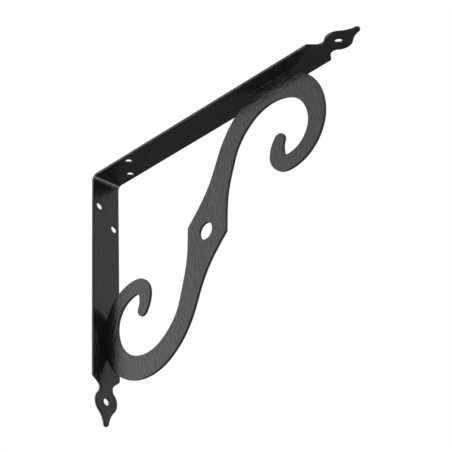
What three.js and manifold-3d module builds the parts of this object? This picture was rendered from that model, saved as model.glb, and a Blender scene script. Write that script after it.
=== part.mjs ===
// Shelf bracket: a flat steel strip bent square, with a finial at each end, and an S-scroll plate
// standing on edge between its two arms. Millimetres, +Z up.
// X runs out from the wall, Y along the wall. The origin is on the wall arm's back face, on its
// centre line, midway between its upper two screws.

import * as THREE from "three";
import { mergeVertices } from "three/addons/utils/BufferGeometryUtils.js";
import Module from "manifold-3d";

const wasm = await Module();
wasm.setup();

// Strip
const stripWidth = 25;
const stripThickness = 2;
const bendInnerRadius = 3.4;
const wallArmLength = 164.3; // from the shelf's face down to the finial's shoulder
const shelfArmLength = 223.8; // from the wall's face out to the finial's shoulder

// Finial, along the strip from its shoulder
const shoulderSlope = 40; // degrees off square
const shoulderCornerRadius = 1;
const neckRadius = 5;
const lobeDistance = 18.1; // shoulder to the middle of the round lobe
const lobeRadius = 9.8;
const flankRadius = 18; // hollow side between lobe and tip
const pointLength = 18.7; // middle of the lobe to the tip
const tipRadius = 2.2;

// Screw holes: distance from the corner, and metal left between the hole and the strip's edge.
// Left is towards -Y and right towards +Y.
const screwHoleDiameter = 5.8;
const wallLeftHole = { distance: 25.2, edgeMetal: 3.4 };
const wallRightHole = { distance: 40.5, edgeMetal: 1.8 };
const shelfLeftHole = { distance: 35.4, edgeMetal: 3.2 };
const shelfRightHole = { distance: 21.8, edgeMetal: 2.7 };

// Scroll plate: a band that runs both ways from its diamond-shaped middle
const plateThickness = 2;
const plateHoleDiameter = 13;
const plateHoleDrop = 1; // below the diamond's middle, along the band
const plateHoleAside = 0.5; // towards the wall, square to the band
const bandDirection = 65; // degrees above level, at the middle
const diamondWidth = 41.6; // across its corners, square to the band
// Depth cut off the scroll's round edge to make the flat that seats on the arm
const shelfFlatDepth = 1.6;
const wallFlatDepth = 2.1;

// Each half of the band is a run of stretches: its share of the half's length, the degrees that the
// centre line turns in it, and the width at its end as a share of the full width
const bandWidth = 18.3;
const upperBandLength = 240.9;
const upperBand = [
  { share: 0.11, turn: -0.1, width: 1.28 },
  { share: 0.107, turn: -0.7, width: 1.01 },
  { share: 0.144, turn: 34.7, width: 1.01 },
  { share: 0.183, turn: 53.8, width: 1.01 },
  { share: 0.165, turn: 65.9, width: 0.85 },
  { share: 0.184, turn: 94.8, width: 0.67 },
  { share: 0.063, turn: 85.5, width: 0.73 },
  { share: 0.044, turn: 34.5, width: 0.58 },
];
const lowerBandLength = 237.6;
const lowerBand = [
  { share: 0.103, turn: 0, width: 1.33 },
  { share: 0.116, turn: -3.4, width: 1 },
  { share: 0.157, turn: 39.6, width: 1.02 },
  { share: 0.179, turn: 61.5, width: 0.95 },
  { share: 0.167, turn: 63.7, width: 0.83 },
  { share: 0.17, turn: 85.8, width: 0.66 },
  { share: 0.062, turn: 88.2, width: 0.65 },
  { share: 0.046, turn: 31.1, width: 0.55 },
];

// How finely curves are cut into flats
const arcStep = THREE.MathUtils.degToRad(7.5);
const bendStep = THREE.MathUtils.degToRad(15);
const bandStep = 2.4;
const samePoint = 0.01;

const bendOuterRadius = bendInnerRadius + stripThickness;

const blackCoat = new THREE.MeshStandardMaterial({ color: 0x1b1b1c, roughness: 0.38, metalness: 0 });

// Points on an arc, both ends included
function arcPoints(centre, radius, from, to, step = arcStep) {
  const count = Math.max(1, Math.ceil(Math.abs(to - from) / step));
  const points = [];
  for (let i = 0; i <= count; i++) {
    const angle = from + ((to - from) * i) / count;
    points.push(
      new THREE.Vector2(centre.x + radius * Math.cos(angle), centre.y + radius * Math.sin(angle)),
    );
  }
  return points;
}

function circlePath(centre, radius) {
  return new THREE.Path(arcPoints(centre, radius, 0, 2 * Math.PI).slice(0, -1));
}

// A closed outline without points that fall on each other
function cleanOutline(points) {
  return points.filter((p, i) => p.distanceTo(points[(i + 1) % points.length]) > samePoint);
}

function angleTo(from, to) {
  return Math.atan2(to.y - from.y, to.x - from.x);
}

// Centre of the neck's arc, which touches the shoulder's slant and the lobe from outside
function neckCentre(corner, along, outward, lobeCentre) {
  const start = corner.clone().addScaledVector(outward, neckRadius).sub(lobeCentre);
  const reach = lobeRadius + neckRadius;
  const half = start.dot(along);
  const travel = -half - Math.sqrt(half * half - start.lengthSq() + reach * reach);
  return start.addScaledVector(along, travel).add(lobeCentre);
}

// Centre of the flank's arc, which touches the lobe and the tip from outside
function flankCentre(lobeCentre, tipCentre) {
  const toLobe = lobeRadius + flankRadius;
  const toTip = tipRadius + flankRadius;
  const apart = tipCentre.y - lobeCentre.y;
  const up = (toLobe * toLobe - toTip * toTip + apart * apart) / (2 * apart);
  return new THREE.Vector2(Math.sqrt(toLobe * toLobe - up * up), lobeCentre.y + up);
}

// One arm laid flat: x across the strip, y along it from the corner
function armShape(armLength, leftHole, rightHole) {
  const half = stripWidth / 2;
  const slope = THREE.MathUtils.degToRad(shoulderSlope);
  const cornerTurn = Math.PI / 2 - slope;
  const corner = new THREE.Vector2(half, armLength);
  const along = new THREE.Vector2(-Math.cos(slope), Math.sin(slope));
  const outward = new THREE.Vector2(Math.sin(slope), Math.cos(slope));
  const lobe = new THREE.Vector2(0, armLength + lobeDistance);
  const tip = new THREE.Vector2(0, lobe.y + pointLength - tipRadius);
  const neck = neckCentre(corner, along, outward, lobe);
  const flank = flankCentre(lobe, tip);
  const cornerCentre = new THREE.Vector2(
    half - shoulderCornerRadius,
    armLength - shoulderCornerRadius * Math.tan(cornerTurn / 2),
  );

  const side = [
    new THREE.Vector2(half, bendOuterRadius),
    ...arcPoints(cornerCentre, shoulderCornerRadius, 0, cornerTurn, 2 * arcStep),
    ...arcPoints(neck, neckRadius, 1.5 * Math.PI - slope, angleTo(neck, lobe), 2 * arcStep),
    ...arcPoints(lobe, lobeRadius, angleTo(lobe, neck), angleTo(lobe, flank)),
    ...arcPoints(flank, flankRadius, angleTo(flank, lobe) + 2 * Math.PI, Math.PI + angleTo(tip, flank)),
    ...arcPoints(tip, tipRadius, angleTo(tip, flank), Math.PI / 2, 2 * arcStep),
  ];
  const otherSide = side.map((p) => new THREE.Vector2(-p.x, p.y)).reverse();
  const shape = new THREE.Shape(cleanOutline([...side, ...otherSide]));

  const holeRadius = screwHoleDiameter / 2;
  const leftX = -half + leftHole.edgeMetal + holeRadius;
  const rightX = half - rightHole.edgeMetal - holeRadius;
  shape.holes.push(circlePath(lobe, holeRadius));
  shape.holes.push(circlePath(new THREE.Vector2(leftX, leftHole.distance), holeRadius));
  shape.holes.push(circlePath(new THREE.Vector2(rightX, rightHole.distance), holeRadius));
  return shape;
}

// Section of the bend, x out from the wall and y up
function bendShape() {
  const centre = new THREE.Vector2(bendOuterRadius, -bendOuterRadius);
  return new THREE.Shape([
    ...arcPoints(centre, bendOuterRadius, Math.PI, Math.PI / 2, bendStep),
    ...arcPoints(centre, bendInnerRadius, Math.PI / 2, Math.PI, bendStep),
  ]);
}

function extrude(shape, depth) {
  return new THREE.ExtrudeGeometry(shape, { depth, bevelEnabled: false });
}

function toSolid(geometry) {
  geometry.deleteAttribute("normal");
  geometry.deleteAttribute("uv");
  const merged = mergeVertices(geometry);
  return new wasm.Manifold(
    new wasm.Mesh({
      numProp: 3,
      vertProperties: merged.attributes.position.array,
      triVerts: new Uint32Array(merged.index.array),
    }),
  );
}

function toGeometry(solid) {
  const mesh = solid.getMesh();
  const geometry = new THREE.BufferGeometry();
  geometry.setAttribute("position", new THREE.BufferAttribute(mesh.vertProperties, 3));
  geometry.setIndex(new THREE.BufferAttribute(mesh.triVerts, 1));
  const flat = geometry.toNonIndexed();
  flat.computeVertexNormals();
  return flat;
}

// The strip: both arms and the bend between them, joined into one solid
function buildStrip() {
  const outX = new THREE.Vector3(1, 0, 0);
  const alongY = new THREE.Vector3(0, 1, 0);
  const upZ = new THREE.Vector3(0, 0, 1);
  const minusY = alongY.clone().negate();
  const down = upZ.clone().negate();

  const wallArm = extrude(armShape(wallArmLength, wallRightHole, wallLeftHole), stripThickness);
  wallArm.applyMatrix4(new THREE.Matrix4().makeBasis(minusY, down, outX));

  const shelfArm = extrude(armShape(shelfArmLength, shelfRightHole, shelfLeftHole), stripThickness);
  shelfArm.applyMatrix4(new THREE.Matrix4().makeBasis(minusY, outX, upZ));
  shelfArm.translate(0, 0, -stripThickness);

  const bend = extrude(bendShape(), stripWidth);
  bend.applyMatrix4(new THREE.Matrix4().makeBasis(outX, upZ, minusY));
  bend.translate(0, stripWidth / 2, 0);

  const solid = toSolid(wallArm).add(toSolid(bend)).add(toSolid(shelfArm));
  const mesh = new THREE.Mesh(toGeometry(solid), blackCoat.clone());
  mesh.name = "bent_strip";
  return mesh;
}

// Both edges of half the band, from the diamond to its rounded end and back
function bandOutline(stretches, total, heading) {
  const widths = [new THREE.Vector2(0, diamondWidth)];
  for (const { share, width } of stretches) {
    widths.push(new THREE.Vector2(widths.at(-1).x + share * total, width * bandWidth));
  }
  const widthCurve = new THREE.SplineCurve(widths);

  // Point and heading on the centre line; the scroll turns clockwise
  function centreLine(distance) {
    const point = new THREE.Vector2(0, 0);
    let angle = heading;
    let left = distance;
    for (const { share, turn } of stretches) {
      const length = share * total;
      const part = Math.min(left, length) / length;
      const turned = THREE.MathUtils.degToRad(-turn) * part;
      const chord = turned === 0 ? length * part : (2 * length * part * Math.sin(turned / 2)) / turned;
      point.x += chord * Math.cos(angle + turned / 2);
      point.y += chord * Math.sin(angle + turned / 2);
      angle += turned;
      left -= length * part;
    }
    return { point, angle };
  }

  const outer = [];
  const inner = [];
  const count = Math.ceil(total / bandStep);
  for (let i = 0; i <= count; i++) {
    const { x: distance, y: width } = widthCurve.getPoint(i / count);
    const { point, angle } = centreLine(distance);
    const across = new THREE.Vector2(-Math.sin(angle), Math.cos(angle)).multiplyScalar(width / 2);
    outer.push(point.clone().add(across));
    inner.push(point.clone().sub(across));
  }
  const end = centreLine(total);
  const tip = arcPoints(
    end.point,
    widths.at(-1).y / 2,
    end.angle - Math.PI / 2,
    end.angle + Math.PI / 2,
    2 * arcStep,
  );
  return [...inner, ...tip, ...outer.reverse()];
}

// Keeps the part of a closed outline on the side where inside(point) is positive
function cutStraight(points, inside) {
  const kept = [];
  points.forEach((point, i) => {
    const next = points[(i + 1) % points.length];
    const here = inside(point);
    const there = inside(next);
    if (here >= 0) kept.push(point);
    if (here * there < 0) kept.push(point.clone().lerp(next, here / (here - there)));
  });
  return kept;
}

// The scroll plate: seated by flats on the wall arm's front and the shelf arm's underside
function buildPlate() {
  const heading = THREE.MathUtils.degToRad(bandDirection);
  const band = [
    ...bandOutline(upperBand, upperBandLength, heading),
    ...bandOutline(lowerBand, lowerBandLength, heading + Math.PI),
  ];
  const bounds = new THREE.Box2().setFromPoints(band);
  const middle = new THREE.Vector2(
    stripThickness - wallFlatDepth - bounds.min.x,
    -stripThickness + shelfFlatDepth - bounds.max.y,
  );
  let outline = band.map((p) => p.clone().add(middle));
  outline = cutStraight(outline, (p) => p.x - stripThickness);
  outline = cutStraight(outline, (p) => -stripThickness - p.y);

  const shape = new THREE.Shape(cleanOutline(outline));
  const downBand = new THREE.Vector2(-Math.cos(heading), -Math.sin(heading));
  const towardsWall = new THREE.Vector2(-Math.sin(heading), Math.cos(heading));
  const hole = middle.clone();
  hole.addScaledVector(downBand, plateHoleDrop).addScaledVector(towardsWall, plateHoleAside);
  shape.holes.push(circlePath(hole, plateHoleDiameter / 2));
  const geometry = toGeometry(toSolid(extrude(shape, plateThickness)));
  const mesh = new THREE.Mesh(geometry, blackCoat.clone());
  mesh.name = "scroll_plate";
  mesh.rotation.x = Math.PI / 2;
  mesh.position.y = plateThickness / 2;
  return mesh;
}

// The pieces are measured from the corner, which lies above the origin
const fromCorner = new THREE.Group();
fromCorner.position.z = (wallLeftHole.distance + wallRightHole.distance) / 2;
fromCorner.add(buildStrip(), buildPlate());

const shelfBracket = new THREE.Group();
shelfBracket.add(fromCorner);

export default shelfBracket;
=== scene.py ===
import math

import bmesh
import bpy
from mathutils import Matrix, Vector, geometry, kdtree, noise


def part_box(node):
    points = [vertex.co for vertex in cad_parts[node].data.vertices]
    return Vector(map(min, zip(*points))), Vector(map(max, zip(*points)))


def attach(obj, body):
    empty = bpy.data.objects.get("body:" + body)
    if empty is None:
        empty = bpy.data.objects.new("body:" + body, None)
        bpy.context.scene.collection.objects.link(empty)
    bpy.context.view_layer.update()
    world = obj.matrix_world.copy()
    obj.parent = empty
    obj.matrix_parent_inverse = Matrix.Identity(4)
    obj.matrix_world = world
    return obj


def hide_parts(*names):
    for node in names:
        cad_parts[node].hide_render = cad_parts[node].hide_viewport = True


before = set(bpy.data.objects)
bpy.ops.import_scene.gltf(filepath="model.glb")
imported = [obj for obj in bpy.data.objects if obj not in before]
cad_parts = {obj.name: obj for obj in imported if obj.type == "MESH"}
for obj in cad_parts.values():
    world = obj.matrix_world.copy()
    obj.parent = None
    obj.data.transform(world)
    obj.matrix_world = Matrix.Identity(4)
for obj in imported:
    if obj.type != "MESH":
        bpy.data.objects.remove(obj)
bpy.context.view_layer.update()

MM = 0.001
SAME_POINT = 0.001
ON_FACE = 0.01  # a point this near a flat face lies on it

# Corners of the scroll plate's box
plate_low, plate_high = (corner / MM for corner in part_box("scroll_plate"))

# Edges, softened by rolling, cutting and the coat
# The first radius is the front face's. The strip's inner face was rolled over as it was sheared.
STRIP_EDGE_RADII = (0.25, 0.6)
PLATE_EDGE_RADII = (0.4, 0.4)
HOLE_EDGE_RADII = (0.1, 0.1)
COAT_IN_HOLES = 0.12  # the coat gathers on a hole's wall
EDGE_STEPS = 4
EDGE_MARGIN = 0.15  # flat ring that keeps the rounding off the faces

# How an outline is read from the part's flat faces
CORNER_ANGLE = math.radians(25)  # a sharper turn than this stays a corner
STRAIGHT_LENGTH = 6  # a longer chord than this is a straight edge
OUTLINE_STEP = 0.5
LEAST_SPREAD = 0.5  # limits how far an edge's rounding reaches in at a corner

# Grid of points inside each face
GRID_STEP = 0.9
GRID_CLEARANCE = 0.45
BEND_ROW_STEP = 0.45
BAND_COUNT = 400  # an outline is searched in this many level bands

# Unevenness of the sheet under the coat
WAVE_DEPTH = 0.035
WAVE_LENGTH = 9
WAVE_STRETCH = 2.2  # waves run longer along a piece than across it
DENT_DEPTH = 0.08
DENT_LENGTH = 3.2
DENT_REACH = 22  # how far from a weld the sheet is uneven
WALL_WELD_HEAT = 0.3  # the wall's weld marked the sheet less than the shelf's, by this share
FOLD_REACH = 22  # how far from the bend the strip is rippled
# Painted highlight: a light line painted along the middle of the fold's inner side, standing in for the
# bend's reflection
FOLD_HIGHLIGHT_MIDDLE = 0.53  # of the way round the bend
FOLD_HIGHLIGHT_WIDTH = 0.1

# Layers of the noise, apart from each other so that no two faces are uneven alike
STRIP_LAYER = 1.5
NEAR_FACE_LAYER = 4.5
FAR_FACE_LAYER = 7.5
DENTS_ABOVE_WAVES = 1

# Welds where the scroll plate meets the strip
WELD_RADIUS = 0.5
WELD_WIDTHS = (0.1, 1.5)  # the bead's narrowest and widest, as shares of its radius
WELD_OVERRUN = 2.2  # length past the end of the contact
WELD_STEP = 0.4
WELD_RIPPLE_LENGTH = 6
WELD_SIDES = 12
NOISE_BODY = (0.3, 0.7)  # most values of a noise pattern lie between these

# Relief of the coated surface, too fine for the mesh
ROLLED_DEPTH = 0.38
RIPPLE_DEPTH = 0.3
WELD_DENT_DEPTH = 1.0
PEEL_DEPTH = 0.01

# Patterns in the coat: patches to a metre, levels of detail, and how close they lie each way
MOTTLING = (90, 4, (1, 1, 1))
RUBBED_PATCHES = (260, 3, (1, 1, 1))
# streaks in the painted highlight along the fold
FOLD_HIGHLIGHT_STREAKS = (300, 2, (1, 0.4, 1))
GLOSS_PATCHES = (160, 5, (1, 1, 1))
ROLLED_STREAKS = (420, 3, (1, 0.4, 1))
FOLD_RIPPLES = (420, 2, (0.25, 1, 1))
WELD_DENTS = (230, 3, (0.6, 1, 1.1))
ORANGE_PEEL = (900, 2, (1, 1, 1))

# The stretch of a pattern that counts, and what its two ends become
MOTTLING_SPAN = (0.35, 0.65, 0, 1)
RUBBED_SPAN = (0.42, 0.68, 0, 0.7)
HIGHLIGHT_STREAK_SPAN = (0.35, 0.6, 0.55, 1)
ROUGHNESS_SPAN = (0.3, 0.7, 0.2, 0.3)

BLACK = (0.010, 0.010, 0.0105, 1)
WARM_BLACK = (0.014, 0.0135, 0.0135, 1)
RUBBED_BLACK = (0.045, 0.045, 0.047, 1)
# light grey of the painted highlight along the fold
FOLD_HIGHLIGHT_GREY = (0.37, 0.37, 0.375, 1)
COAT_IOR = 1.5

# Floor, in metres
FLOOR_HEIGHT = -0.72
FLOOR_SIZE = 40
FLOOR_COLOUR = (0.92, 0.92, 0.92, 1)
FLOOR_ROUGHNESS = 0.9

# Soft studio light: direction of each glow, its strength, and how narrow it is
GLOWS = [
    ((-0.84, -0.54, 0.07), 2.43, 6),
    ((0, -0.90, 0.45), 0.7, 12),
    ((0.62, 0.62, 0.30), 0.66, 4),
    ((0.30, 0.62, -0.70), 0.5, 6),
    ((0, 0, 1), 1.4, 8),
]
# The surround brightens between these two heights on a sphere of radius 1
SURROUND_HEIGHTS = (-0.45, 0.15)
DARK_BELOW = 0.08
LIGHT_ABOVE = 0.12
WHITE = (1, 1, 1, 1)

# Camera at the photograph's place, in metres and radians
CAMERA_PLACE = Vector((0.78265, -0.65983, -0.57615))
CAMERA_AZIMUTH = -0.78953  # direction from the bracket to the camera
CAMERA_ELEVATION = -0.50577
CAMERA_ROLL = -0.04567
SENSOR_WIDTH = 36
LENS = 123.75


def flat_face_loops(node, axis, level):
    """Closed outlines of the flat face of a CAD node that lies across an axis, in millimetres."""
    mesh = bmesh.new()
    mesh.from_mesh(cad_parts[node].data)
    bmesh.ops.remove_doubles(mesh, verts=mesh.verts, dist=SAME_POINT * MM)

    def on_level(vert):
        return abs(vert.co[axis] / MM - level) < ON_FACE

    on_face = {f for f in mesh.faces if all(on_level(v) for v in f.verts)}
    follow = {}
    for face in on_face:
        for loop in face.loops:
            if not any(other in on_face for other in loop.edge.link_faces if other != face):
                follow[loop.vert] = loop.link_loop_next.vert
    loops = []
    while follow:
        vert = next(iter(follow))
        loop = []
        while vert in follow:
            loop.append(vert.co / MM)
            vert = follow.pop(vert)
        loops.append(loop)
    mesh.free()
    return loops


def signed_area(loop):
    return sum(a.cross(b) for a, b in zip(loop, loop[1:] + loop[:1])) / 2


def oriented(loops):
    """The outer outline first and running left, holes after it and running right."""
    ordered = sorted(loops, key=lambda loop: -abs(signed_area(loop)))
    result = []
    for index, loop in enumerate(ordered):
        wanted = 1 if index == 0 else -1
        result.append(loop if signed_area(loop) * wanted > 0 else loop[::-1])
    return result


def outline_tangents(loop):
    """Direction of the outline at each point, or None at a corner."""
    tangents = []
    for index, here in enumerate(loop):
        before = here - loop[index - 1]
        after = loop[(index + 1) % len(loop)] - here
        if before.angle(after) > CORNER_ANGLE:
            tangents.append(None)
        elif before.length > STRAIGHT_LENGTH:
            tangents.append(before.normalized())
        elif after.length > STRAIGHT_LENGTH:
            tangents.append(after.normalized())
        else:
            mixed = before.normalized() * after.length + after.normalized() * before.length
            tangents.append(mixed.normalized())
    return tangents


def mirrored(tangent, chord):
    """The tangent at the other end of an arc over this chord."""
    along = chord.normalized()
    return 2 * tangent.dot(along) * along - tangent


def smooth_outline(loop):
    """The same outline with its short chords turned into curves."""
    tangents = outline_tangents(loop)
    points = []
    for index, start in enumerate(loop):
        following = (index + 1) % len(loop)
        end = loop[following]
        chord = end - start
        leave = tangents[index]
        arrive = tangents[following]
        if chord.length > STRAIGHT_LENGTH or (leave is None and arrive is None):
            leave = arrive = chord.normalized()
        elif leave is None:
            leave = mirrored(arrive, chord)
        elif arrive is None:
            arrive = mirrored(leave, chord)
        pull = chord.length / 3
        count = max(1, round(chord.length / OUTLINE_STEP))
        points += geometry.interpolate_bezier(
            start, start + leave * pull, end - arrive * pull, end, count + 1
        )[:-1]
    return [Vector(p[:2]) for p in points]


def outward_normals(loop):
    """Directions away from the metal, lengthened at corners so that parallel outlines stay parallel."""
    normals = []
    for index, here in enumerate(loop):
        before = (here - loop[index - 1]).normalized()
        after = (loop[(index + 1) % len(loop)] - here).normalized()
        along = (before + after).normalized()
        spread = max(LEAST_SPREAD, along.dot(after))
        normals.append(Vector((along.y, -along.x)) / spread)
    return normals


def cut_outlines(loops):
    """A sheet's outlines as smooth curves, with its holes narrowed by the coat."""
    outlines = [smooth_outline(loop) for loop in oriented(loops)]
    for index, hole in enumerate(outlines[1:], start=1):
        outlines[index] = [p + n * COAT_IN_HOLES for p, n in zip(hole, outward_normals(hole))]
    return outlines


def edge_profile(thickness, radii):
    """Rounded section of an edge, from one face to the other: how far in, how deep, how worn."""
    sides = []
    for radius in radii:
        side = [(max(radii) + EDGE_MARGIN, 0, 0)]
        for step in range(EDGE_STEPS + 1):
            angle = math.pi / 2 * step / EDGE_STEPS
            inset = radius * (1 - math.sin(angle))
            depth = radius * (1 - math.cos(angle))
            side.append((inset, depth, math.sin(2 * angle)))
        sides.append(side)
    front, back = sides
    return front + [(inset, thickness - depth, wear) for inset, depth, wear in reversed(back)]


def edge_rings(outlines, thickness, edge_radii):
    """Outlines repeated round the edge's section, front to back: each point with its depth and wear."""
    radii = [edge_radii] + [HOLE_EDGE_RADII] * (len(outlines) - 1)
    profiles = [edge_profile(thickness, pair) for pair in radii]
    normals = [outward_normals(loop) for loop in outlines]
    rings = []
    for level in range(len(profiles[0])):
        ring = []
        for loop, away, profile in zip(outlines, normals, profiles):
            inset, depth, wear = profile[level]
            ring += [(p - n * inset, depth, wear) for p, n in zip(loop, away)]
        rings.append(ring)
    return rings


def split_ring(ring, outlines):
    """The flat points of one ring, apart for each outline."""
    parts = []
    start = 0
    for loop in outlines:
        parts.append([p for p, _, _ in ring[start:start + len(loop)]])
        start += len(loop)
    return parts


def inside_test(loops):
    """A function that says whether a point is in the metal."""
    edges = [(a, b) for loop in loops for a, b in zip(loop, loop[1:] + loop[:1])]
    lowest = min(p.y for p in loops[0])
    highest = max(p.y for p in loops[0])
    band = (highest - lowest) / BAND_COUNT
    bands = [[] for _ in range(BAND_COUNT + 2)]
    for a, b in edges:
        first = int((min(a.y, b.y) - lowest) / band)
        last = int((max(a.y, b.y) - lowest) / band)
        for k in range(max(0, first), min(BAND_COUNT + 1, last) + 1):
            bands[k].append((a, b))

    def inside(point):
        k = int((point.y - lowest) / band)
        if not 0 <= k < len(bands):
            return False
        crossings = 0
        for a, b in bands[k]:
            if (a.y > point.y) != (b.y > point.y):
                if point.x < a.x + (b.x - a.x) * (point.y - a.y) / (b.y - a.y):
                    crossings += 1
        return crossings % 2 == 1

    return inside


def grid_rows(low, high, extra_rows):
    """Heights of the grid's rows. Closer rows, where a sheet needs them, take the place of its own."""
    row_step = GRID_STEP * math.sqrt(3) / 2
    rows = [low + row_step * k for k in range(int((high - low) / row_step) + 1)]
    if not extra_rows:
        return rows
    first = min(extra_rows) - row_step / 2
    last = max(extra_rows) + row_step / 2
    return sorted([y for y in rows if not first < y < last] + list(extra_rows))


def grid_points(loops, extra_rows=()):
    """Points spread evenly over the face, clear of its outlines."""
    inside = inside_test(loops)
    rim = [p for loop in loops for p in loop]
    tree = kdtree.KDTree(len(rim))
    for index, p in enumerate(rim):
        tree.insert((p.x, p.y, 0), index)
    tree.balance()
    left = min(p.x for p in rim)
    right = max(p.x for p in rim)
    rows = grid_rows(min(p.y for p in rim), max(p.y for p in rim), extra_rows)
    points = []
    for number, y in enumerate(rows):
        x = left + GRID_STEP / 2 * (number % 2)
        while x < right:
            point = Vector((x, y))
            if inside(point) and tree.find((x, y, 0))[2] > GRID_CLEARANCE:
                points.append(point)
            x += GRID_STEP
    return points


def fill_face(rings, extra_rows):
    """Triangles of the face inside its rings, with the grid points that they use."""
    inside = inside_test(rings)
    grid = grid_points(rings, extra_rows)
    points = [p for ring in rings for p in ring] + grid
    edges = []
    start = 0
    for ring in rings:
        count = len(ring)
        edges += [(start + k, start + (k + 1) % count) for k in range(count)]
        start += count
    made, _, faces, origins, _, _ = geometry.delaunay_2d_cdt(points, edges, [], 0, SAME_POINT / 10)
    source = [origin[0] for origin in origins]
    triangles = []
    for face in faces:
        middle = sum((made[k] for k in face), Vector((0, 0))) / 3
        if inside(middle):
            triangles.append([source[k] for k in face])
    return grid, triangles


def sheet_faces(outlines, ring_count, triangles, grid_size):
    """Faces of the whole sheet: its front, its back, and the rows round its edges between them."""
    rim_size = sum(len(loop) for loop in outlines)
    front_grid = rim_size * ring_count
    back_grid = front_grid + grid_size
    last_ring = rim_size * (ring_count - 1)
    faces = []
    for triangle in triangles:
        front = [k if k < rim_size else front_grid + k - rim_size for k in triangle]
        back = [last_ring + k if k < rim_size else back_grid + k - rim_size for k in triangle]
        faces += [front, back[::-1]]
    for level in range(ring_count - 1):
        start = level * rim_size
        for loop in outlines:
            count = len(loop)
            for k in range(count):
                here = start + k
                beside = start + (k + 1) % count
                faces.append([here, here + rim_size, beside + rim_size, beside])
            start += count
    return faces


def write_values(mesh, name, values):
    """One number for each point of the mesh, which the coat reads by its name."""
    layer = mesh.attributes.new(name, "FLOAT", "POINT")
    layer.data.foreach_set("value", values)


def turn_faces_out(mesh):
    turned = bmesh.new()
    turned.from_mesh(mesh)
    bmesh.ops.recalc_face_normals(turned, faces=turned.faces)
    turned.to_mesh(mesh)
    turned.free()


def add_object(name, data):
    piece = bpy.data.objects.new(name, data)
    bpy.context.scene.collection.objects.link(piece)
    return piece


def build_sheet(name, loops, thickness, edge_radii, place, marks, extra_rows=()):
    """A flat cut sheet with rounded edges, set into space by place(across, along, depth).

    marks holds a function of the same three for each further value that the coat reads.
    """
    outlines = cut_outlines(loops)
    rings = edge_rings(outlines, thickness, edge_radii)
    grid, triangles = fill_face(split_ring(rings[0], outlines), extra_rows)
    points = [point for ring in rings for point in ring]
    for depth in (0, thickness):
        points += [(p, depth, 0) for p in grid]
    faces = sheet_faces(outlines, len(rings), triangles, len(grid))

    mesh = bpy.data.meshes.new(name)
    mesh.from_pydata([place(p.x, p.y, depth) * MM for p, depth, _ in points], [], faces)
    write_values(mesh, "edge_wear", [wear for _, _, wear in points])
    flat = mesh.attributes.new("flat_place", "FLOAT_VECTOR", "POINT")
    flat.data.foreach_set("vector", [v * MM for p, depth, _ in points for v in (p.x, p.y, depth)])
    for mark, value in marks.items():
        write_values(mesh, mark, [value(p.x, p.y, depth) for p, depth, _ in points])
    turn_faces_out(mesh)
    mesh.shade_smooth()
    return add_object(name, mesh)


def wave(across, along, length, stretch, layer):
    """Gentle unevenness, about -1 to 1."""
    return noise.noise(Vector((across / length, along / (length * stretch), layer)))


def build_strip():
    """The bent strip: read flat from the CAD strip's outer faces, then bent again with a round corner."""
    low, high = (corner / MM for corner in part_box("bent_strip"))
    shelf_level = high.z
    wall_loops = flat_face_loops("bent_strip", 0, low.x)
    shelf_loops = flat_face_loops("bent_strip", 2, shelf_level)
    bend_start = max(p.z for loop in wall_loops for p in loop)
    outer_radius = shelf_level - bend_start
    thickness = plate_low.x  # the plate meets the wall arm's front face
    bend_length = (outer_radius - thickness / 2) * math.pi / 2

    flat_wall = [[Vector((p.y, p.z - bend_start)) for p in loop] for loop in wall_loops]
    flat_shelf = [
        [Vector((p.y, p.x - outer_radius + bend_length)) for p in loop] for loop in shelf_loops
    ]
    loops = join_arms(oriented(flat_wall), oriented(flat_shelf), bend_length)

    def place(across, along, depth):
        waves = wave(across, along, WAVE_LENGTH, WAVE_STRETCH, STRIP_LAYER) * WAVE_DEPTH
        depth = depth + waves
        if along <= 0:
            return Vector((depth, across, bend_start + along))
        if along >= bend_length:
            return Vector((outer_radius + along - bend_length, across, shelf_level - depth))
        angle = math.pi / 2 * along / bend_length
        radius = outer_radius - depth
        return Vector((
            outer_radius - radius * math.cos(angle),
            across,
            bend_start + radius * math.sin(angle),
        ))

    def painted_fold_highlight(across, along, depth):
        """Painted highlight: a light line painted along the middle of the fold's inner side."""
        if depth < thickness / 2:
            return 0
        off_middle = (along / bend_length - FOLD_HIGHLIGHT_MIDDLE) / FOLD_HIGHLIGHT_WIDTH
        return math.exp(-off_middle * off_middle)

    def fold_ripple(across, along, depth):
        """1 at the bend, fading along both arms."""
        return max(0, 1 - beyond(along, (0, bend_length)) / FOLD_REACH)

    def near_weld(across, along, depth):
        return weld_nearness(place(across, along, depth))

    marks = {"painted_fold_highlight": painted_fold_highlight, "fold_ripple": fold_ripple, "near_weld": near_weld}
    rows = math.ceil(bend_length / BEND_ROW_STEP)
    bend_rows = [bend_length * k / rows for k in range(rows + 1)]
    return build_sheet("strip", loops, thickness, STRIP_EDGE_RADII, place, marks, bend_rows)


def join_arms(wall, shelf, bend_length):
    """One flat outline from both arms', across the bend, with all the holes.

    Each arm's outline is opened at its widest gap, where the bend's edge is left out.
    """
    wall_side = [p for p in wall[0] if p.y < -SAME_POINT]
    shelf_side = [p for p in shelf[0] if p.y > bend_length + SAME_POINT]
    wall_cut = max(range(len(wall_side)), key=lambda k: (wall_side[k] - wall_side[k - 1]).length)
    shelf_cut = max(range(len(shelf_side)), key=lambda k: (shelf_side[k] - shelf_side[k - 1]).length)
    outer = wall_side[wall_cut:] + wall_side[:wall_cut] + shelf_side[shelf_cut:] + shelf_side[:shelf_cut]
    return [outer] + wall[1:] + shelf[1:]


def plate_loops():
    """Outlines of the scroll plate's near face, as x and z."""
    loops = flat_face_loops("scroll_plate", 1, plate_low.y)
    return [[Vector((p.x, p.z)) for p in loop] for loop in loops]


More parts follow.
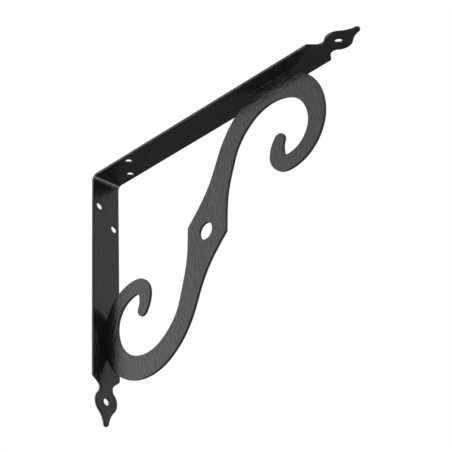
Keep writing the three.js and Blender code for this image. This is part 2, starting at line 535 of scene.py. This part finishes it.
def contact_spans():
    """Where the scroll plate's two flats meet the strip: the wall arm's in Z, the shelf arm's in X."""
    outline = oriented(plate_loops())[0]
    on_wall = [p.y for p in outline if abs(p.x - plate_low.x) < ON_FACE]
    on_shelf = [p.x for p in outline if abs(p.y - plate_high.z) < ON_FACE]
    return (min(on_wall), max(on_wall)), (min(on_shelf), max(on_shelf))


def beyond(value, span):
    """How far a value lies outside a span."""
    return max(span[0] - value, 0, value - span[1])


def weld_nearness(point):
    """1 at the shelf arm's weld, less at the wall arm's, and 0 away from both."""
    wall_span, shelf_span = contacts
    from_wall = Vector((point.x - plate_low.x, point.y, beyond(point.z, wall_span))).length
    from_shelf = Vector((beyond(point.x, shelf_span), point.y, plate_high.z - point.z)).length
    near_wall = max(0, 1 - from_wall / DENT_REACH) * WALL_WELD_HEAT
    return max(near_wall, 1 - from_shelf / DENT_REACH)


def build_scroll_plate():
    """The scroll plate, cut flat and standing on the strip's centre line."""
    thickness = plate_high.y - plate_low.y

    def near_weld(x, z, depth):
        return weld_nearness(Vector((x, 0, z)))

    def place(x, z, depth):
        dents = DENT_DEPTH * near_weld(x, z, depth)
        share = depth / thickness
        for side, sign, layer in ((1 - share, 1, NEAR_FACE_LAYER), (share, -1, FAR_FACE_LAYER)):
            depth += sign * side * WAVE_DEPTH * wave(x, z, WAVE_LENGTH, WAVE_STRETCH, layer)
            depth += sign * side * dents * wave(x, z, DENT_LENGTH, 1, layer + DENTS_ABOVE_WAVES)
        return Vector((x, plate_low.y + depth, z))

    marks = {"near_weld": near_weld}
    return build_sheet("scroll", plate_loops(), thickness, PLATE_EDGE_RADII, place, marks)


def socket(tree, name, kind, in_out="INPUT"):
    return tree.interface.new_socket(name, in_out=in_out, socket_type=kind)


def weld_tree(material):
    """Geometry nodes for a weld seam: a thin uneven bead along the edges that it is given."""
    tree = bpy.data.node_groups.new("weld seam", "GeometryNodeTree")
    socket(tree, "Line", "NodeSocketGeometry")
    inputs = {
        "Bead radius": socket(tree, "Bead radius", "NodeSocketFloat"),
        "Point spacing": socket(tree, "Point spacing", "NodeSocketFloat"),
        "Ripple length": socket(tree, "Ripple length", "NodeSocketFloat"),
    }
    socket(tree, "Bead", "NodeSocketGeometry", "OUTPUT")
    nodes = tree.nodes
    link = tree.links.new
    given = nodes.new("NodeGroupInput")
    line = nodes.new("GeometryNodeMeshToCurve")
    spaced = nodes.new("GeometryNodeResampleCurve")
    spaced.mode = "LENGTH"
    link(given.outputs["Line"], line.inputs["Mesh"])
    link(line.outputs["Curve"], spaced.inputs["Curve"])
    link(given.outputs["Point spacing"], spaced.inputs["Length"])

    ripple_scale = nodes.new("ShaderNodeMath")
    ripple_scale.operation = "DIVIDE"
    ripple_scale.inputs[0].default_value = 1
    link(given.outputs["Ripple length"], ripple_scale.inputs[1])
    ripple = nodes.new("ShaderNodeTexNoise")
    ripple.inputs["Detail"].default_value = 2
    link(ripple_scale.outputs["Value"], ripple.inputs["Scale"])
    width = map_range(tree, ripple.outputs["Fac"], NOISE_BODY + WELD_WIDTHS)

    section = nodes.new("GeometryNodeCurvePrimitiveCircle")
    section.inputs["Resolution"].default_value = WELD_SIDES
    link(given.outputs["Bead radius"], section.inputs["Radius"])
    bead = nodes.new("GeometryNodeCurveToMesh")
    bead.inputs["Fill Caps"].default_value = True
    link(spaced.outputs["Curve"], bead.inputs["Curve"])
    link(section.outputs["Curve"], bead.inputs["Profile Curve"])
    link(width, bead.inputs["Scale"])

    smooth = nodes.new("GeometryNodeSetShadeSmooth")
    real = nodes.new("GeometryNodeRealizeInstances")
    coated = nodes.new("GeometryNodeSetMaterial")
    coated.inputs["Material"].default_value = material
    result = nodes.new("NodeGroupOutput")
    link(bead.outputs["Mesh"], smooth.inputs["Geometry"])
    link(smooth.outputs["Geometry"], real.inputs["Geometry"])
    link(real.outputs["Geometry"], coated.inputs["Geometry"])
    link(coated.outputs["Geometry"], result.inputs["Bead"])
    return tree, inputs


def build_weld(name, corners, closed, tree, inputs):
    """One weld along a contact, from the corners of its line in millimetres."""
    points = [Vector(p) * MM for p in corners]
    edges = [(k, k + 1) for k in range(len(points) - 1)]
    if closed:
        edges.append((len(points) - 1, 0))
    line = bpy.data.meshes.new(name)
    line.from_pydata(points, edges, [])
    seam = add_object(name + "_line", line)
    modifier = seam.modifiers.new("weld seam", "NODES")
    modifier.node_group = tree
    modifier[inputs["Bead radius"].identifier] = WELD_RADIUS * MM
    modifier[inputs["Point spacing"].identifier] = WELD_STEP * MM
    modifier[inputs["Ripple length"].identifier] = WELD_RIPPLE_LENGTH * MM
    bpy.context.view_layer.update()
    evaluated = seam.evaluated_get(bpy.context.evaluated_depsgraph_get())
    bead = bpy.data.meshes.new_from_object(evaluated)
    bpy.data.objects.remove(seam)
    return add_object(name, bead)


def build_welds(material):
    """The wall arm's seam runs up the plate's far side. The shelf arm's goes right round its contact."""
    wall_span, shelf_span = contacts
    tree, inputs = weld_tree(material)
    wall_line = [(plate_low.x, plate_high.y, z) for z in wall_span]
    start = shelf_span[0] - WELD_OVERRUN
    end = shelf_span[1] + WELD_OVERRUN
    near = plate_low.y
    far = plate_high.y
    shelf_line = [(x, y, plate_high.z) for x, y in ((start, near), (end, near), (end, far), (start, far))]
    return [
        build_weld("wall_weld", wall_line, False, tree, inputs),
        build_weld("shelf_weld", shelf_line, True, tree, inputs),
    ]


def noise_node(tree, coordinates, pattern):
    """A noise pattern fixed to the piece."""
    scale, detail, repeats = pattern
    mapping = tree.nodes.new("ShaderNodeMapping")
    mapping.inputs["Scale"].default_value = repeats
    texture = tree.nodes.new("ShaderNodeTexNoise")
    texture.inputs["Scale"].default_value = scale
    texture.inputs["Detail"].default_value = detail
    tree.links.new(coordinates, mapping.inputs["Vector"])
    tree.links.new(mapping.outputs["Vector"], texture.inputs["Vector"])
    return texture.outputs["Fac"]


def map_range(tree, value, span):
    """The value stretched from span's first two numbers to its last two."""
    node = tree.nodes.new("ShaderNodeMapRange")
    for name, number in zip(("From Min", "From Max", "To Min", "To Max"), span):
        node.inputs[name].default_value = number
    tree.links.new(value, node.inputs["Value"])
    return node.outputs["Result"]


def mix_colours(tree, share, first, second):
    node = tree.nodes.new("ShaderNodeMix")
    node.data_type = "RGBA"
    tree.links.new(share, node.inputs["Factor"])
    for value, name in ((first, "A"), (second, "B")):
        slot = next(s for s in node.inputs if s.name == name and s.type == "RGBA")
        if isinstance(value, tuple):
            slot.default_value = value
        else:
            tree.links.new(value, slot)
    return next(s for s in node.outputs if s.type == "RGBA")


def math_node(tree, operation, first, second):
    """One step of arithmetic on two values, each a number or another node's output."""
    node = tree.nodes.new("ShaderNodeMath")
    node.operation = operation
    for value, slot in ((first, node.inputs[0]), (second, node.inputs[1])):
        if isinstance(value, (int, float)):
            slot.default_value = value
        else:
            tree.links.new(value, slot)
    return node.outputs["Value"]


def attribute(tree, name, output="Fac"):
    node = tree.nodes.new("ShaderNodeAttribute")
    node.attribute_name = name
    return node.outputs[output]


def marked(tree, name, pattern):
    """A pattern that shows only as far as the piece is marked with this value."""
    return math_node(tree, "MULTIPLY", pattern, attribute(tree, name))


def bump(tree, height, depth, below=None):
    """Relief of this depth, in millimetres, on top of the relief below it."""
    node = tree.nodes.new("ShaderNodeBump")
    node.inputs["Distance"].default_value = depth * MM
    tree.links.new(height, node.inputs["Height"])
    if below is not None:
        tree.links.new(below, node.inputs["Normal"])
    return node.outputs["Normal"]


def black_coat(name):
    """Semi-gloss black powder coat: faint mottling, fine orange peel, rubbed edges and a painted
    highlight along the fold.
    """
    material = bpy.data.materials.new(name)
    material.use_nodes = True
    tree = material.node_tree
    shader = tree.nodes["Principled BSDF"]
    place = tree.nodes.new("ShaderNodeTexCoord").outputs["Object"]
    flat_place = attribute(tree, "flat_place", "Vector")

    mottling = map_range(tree, noise_node(tree, place, MOTTLING), MOTTLING_SPAN)
    colour = mix_colours(tree, mottling, BLACK, WARM_BLACK)
    patches = map_range(tree, noise_node(tree, place, RUBBED_PATCHES), RUBBED_SPAN)
    colour = mix_colours(tree, marked(tree, "edge_wear", patches), colour, RUBBED_BLACK)
    # painted highlight: light grey streaks painted along the middle of the fold's inner side
    highlight_streaks = map_range(tree, noise_node(tree, flat_place, FOLD_HIGHLIGHT_STREAKS), HIGHLIGHT_STREAK_SPAN)
    colour = mix_colours(tree, marked(tree, "painted_fold_highlight", highlight_streaks), colour, FOLD_HIGHLIGHT_GREY)
    tree.links.new(colour, shader.inputs["Base Color"])

    gloss = map_range(tree, noise_node(tree, place, GLOSS_PATCHES), ROUGHNESS_SPAN)
    tree.links.new(gloss, shader.inputs["Roughness"])
    shader.inputs["IOR"].default_value = COAT_IOR

    rippled = marked(tree, "fold_ripple", noise_node(tree, flat_place, FOLD_RIPPLES))
    dented = marked(tree, "near_weld", noise_node(tree, place, WELD_DENTS))
    surface = bump(tree, noise_node(tree, flat_place, ROLLED_STREAKS), ROLLED_DEPTH)
    surface = bump(tree, rippled, RIPPLE_DEPTH, surface)
    surface = bump(tree, dented, WELD_DENT_DEPTH, surface)
    surface = bump(tree, noise_node(tree, place, ORANGE_PEEL), PEEL_DEPTH, surface)
    tree.links.new(surface, shader.inputs["Normal"])
    return material


def build_floor():
    mesh = bpy.data.meshes.new("floor")
    half = FLOOR_SIZE / 2
    corners = [(-half, -half), (half, -half), (half, half), (-half, half)]
    mesh.from_pydata([(x, y, FLOOR_HEIGHT) for x, y in corners], [], [(0, 1, 2, 3)])
    floor = add_object("floor", mesh)
    material = bpy.data.materials.new("pale floor")
    material.use_nodes = True
    shader = material.node_tree.nodes["Principled BSDF"]
    shader.inputs["Base Color"].default_value = FLOOR_COLOUR
    shader.inputs["Roughness"].default_value = FLOOR_ROUGHNESS
    mesh.materials.append(material)
    floor.visible_glossy = False


def build_studio_light():
    """Pale surround, with soft glows that the coat reflects. The background itself is plain white."""
    world = bpy.data.worlds.new("studio")
    bpy.context.scene.world = world
    world.use_nodes = True
    tree = world.node_tree
    tree.nodes.clear()
    link = tree.links.new

    direction = tree.nodes.new("ShaderNodeTexCoord").outputs["Generated"]
    parts = tree.nodes.new("ShaderNodeSeparateXYZ")
    link(direction, parts.inputs["Vector"])
    light = map_range(tree, parts.outputs["Z"], SURROUND_HEIGHTS + (DARK_BELOW, LIGHT_ABOVE))
    light.node.interpolation_type = "SMOOTHSTEP"
    for towards, strength, narrowness in GLOWS:
        facing = tree.nodes.new("ShaderNodeVectorMath")
        facing.operation = "DOT_PRODUCT"
        facing.inputs[1].default_value = Vector(towards).normalized()
        link(direction, facing.inputs[0])
        away = math_node(tree, "SUBTRACT", facing.outputs["Value"], 1)
        glow = math_node(tree, "POWER", math.e, math_node(tree, "MULTIPLY", away, narrowness))
        light = math_node(tree, "ADD", light, math_node(tree, "MULTIPLY", glow, strength))

    studio = tree.nodes.new("ShaderNodeBackground")
    studio.inputs["Color"].default_value = WHITE
    link(light, studio.inputs["Strength"])
    plain = tree.nodes.new("ShaderNodeBackground")
    plain.inputs["Color"].default_value = WHITE
    seen = tree.nodes.new("ShaderNodeLightPath").outputs["Is Camera Ray"]
    either = tree.nodes.new("ShaderNodeMixShader")
    link(seen, either.inputs["Fac"])
    link(studio.outputs["Background"], either.inputs[1])
    link(plain.outputs["Background"], either.inputs[2])
    output = tree.nodes.new("ShaderNodeOutputWorld")
    link(either.outputs["Shader"], output.inputs["Surface"])
    bpy.context.scene.view_settings.view_transform = "Standard"


def place_camera():
    """The camera stands where the photograph's did, below the bracket and looking up at it."""
    level = math.cos(CAMERA_ELEVATION)
    back = Vector((
        level * math.cos(CAMERA_AZIMUTH),
        level * math.sin(CAMERA_AZIMUTH),
        math.sin(CAMERA_ELEVATION),
    ))
    right = (-back).cross(Vector((0, 0, 1))).normalized()
    up = right.cross(-back)
    turn = Matrix((right, up, back)).transposed() @ Matrix.Rotation(CAMERA_ROLL, 3, "Z")
    data = bpy.data.cameras.new("camera")
    data.sensor_width = SENSOR_WIDTH
    data.lens = LENS
    camera = add_object("camera", data)
    camera.matrix_world = Matrix.Translation(CAMERA_PLACE) @ turn.to_4x4()
    bpy.context.scene.camera = camera


strip_coat = black_coat("strip coat")
plate_coat = black_coat("plate coat")
contacts = contact_spans()
strip = build_strip()
scroll = build_scroll_plate()
wall_weld, shelf_weld = build_welds(plate_coat)
strip.data.materials.append(strip_coat)
scroll.data.materials.append(plate_coat)
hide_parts("bent_strip")
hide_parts("scroll_plate")
for piece in (strip, scroll, wall_weld, shelf_weld):
    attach(piece, "root")

build_floor()
build_studio_light()
place_camera()
